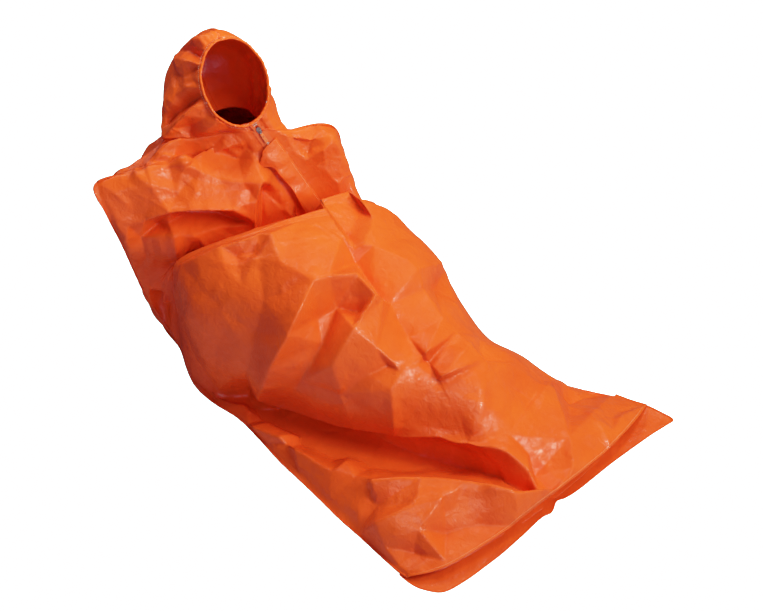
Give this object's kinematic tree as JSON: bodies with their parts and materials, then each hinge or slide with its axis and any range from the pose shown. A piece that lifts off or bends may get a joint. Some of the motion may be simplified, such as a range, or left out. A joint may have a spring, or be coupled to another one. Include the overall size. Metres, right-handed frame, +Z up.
{
  "type": "hooded bivouac sack",
  "caption": "Hooded sleeping-bag style emergency sack in coated fabric, set down as used: flat floor, raised leg section, upright chest, short front zip and storm flap.",
  "frame": {"origin": "middle of the floor panel's underside, on the ground, under the sack's long axis and 600 mm from the foot hem", "axes": "+Z up from the ground; +Y along the sack from the foot end towards the hood; +X to the left-hand side of someone lying in the sack"},
  "size_m": [0.8196, 1.3437, 0.77],
  "materials": {
    "coated_fabric": "satin",
    "floor_fabric": "satin",
    "seam_tape": "satin",
    "hem_fabric": "satin",
    "elastic": "matte",
    "thread": "matte",
    "zip_tape": "matte",
    "zip_teeth": "satin",
    "zip_metal": "satin",
    "pull_grip": "gloss"
  },
  "bodies": {
    "sack": {"front_panel": "coated_fabric", "floor_panel": "floor_fabric", "back_panel": "coated_fabric", "foot_gusset": "floor_fabric", "side_seam_right": "seam_tape", "side_seam_left": "seam_tape", "foot_seam": "seam_tape", "shoulder_seams": "seam_tape", "zip_tape_right": "zip_tape", "zip_tape_left": "zip_tape", "zip_teeth_right": "zip_teeth", "zip_teeth_left": "zip_teeth", "zip_top_stops": "zip_metal", "zip_bottom_stop": "zip_metal", "zip_end_patch": "floor_fabric", "storm_flap_stitches": "thread"},
    "hood": {"hood_right_panel": "coated_fabric", "hood_left_panel": "coated_fabric", "hood_crown_tape": "seam_tape", "hood_hem_casing": "hem_fabric", "hood_elastic": "elastic", "hood_hem_stitches": "thread"},
    "slider": {"zip_slider": "zip_metal", "zip_slider_pin": "zip_metal"},
    "pull": {"zip_pull_link": "zip_metal", "zip_pull_grip": "pull_grip"},
    "flap": {"storm_flap": "coated_fabric"}
  },
  "joints": [
    {"name": "hood_nod", "type": "hinge", "parent": "sack", "child": "hood", "pos_m": [0.02, 0.5, 0.54], "axis": [0.8746, -0.4848, 0], "range_deg": [-10, 10], "stiffness_Nm_per_rad": 1.5},
    {"name": "zip_travel", "type": "slide", "parent": "sack", "child": "slider", "axis": [0.2344, -0.4814, -0.8446], "range_m": [0, 0.245], "deforming": ["zip_teeth_right", "zip_teeth_left"]},
    {"name": "pull_swing", "type": "hinge", "parent": "slider", "child": "pull", "pos_m": [0.01763, 0.41373, 0.56178], "axis": [-0.8588, 0.3046, -0.4119], "range_deg": [0, 110]},
    {"name": "flap_fold", "type": "hinge", "parent": "sack", "child": "flap", "pos_m": [0.07545, 0.33701, 0.44276], "axis": [-0.2344, 0.4814, 0.8446], "range_deg": [0, 150]}
  ],
  "couplings": [
    {"joint": "flap_fold", "follows": "zip_travel", "rad_per_m": 10.68}
  ]
}
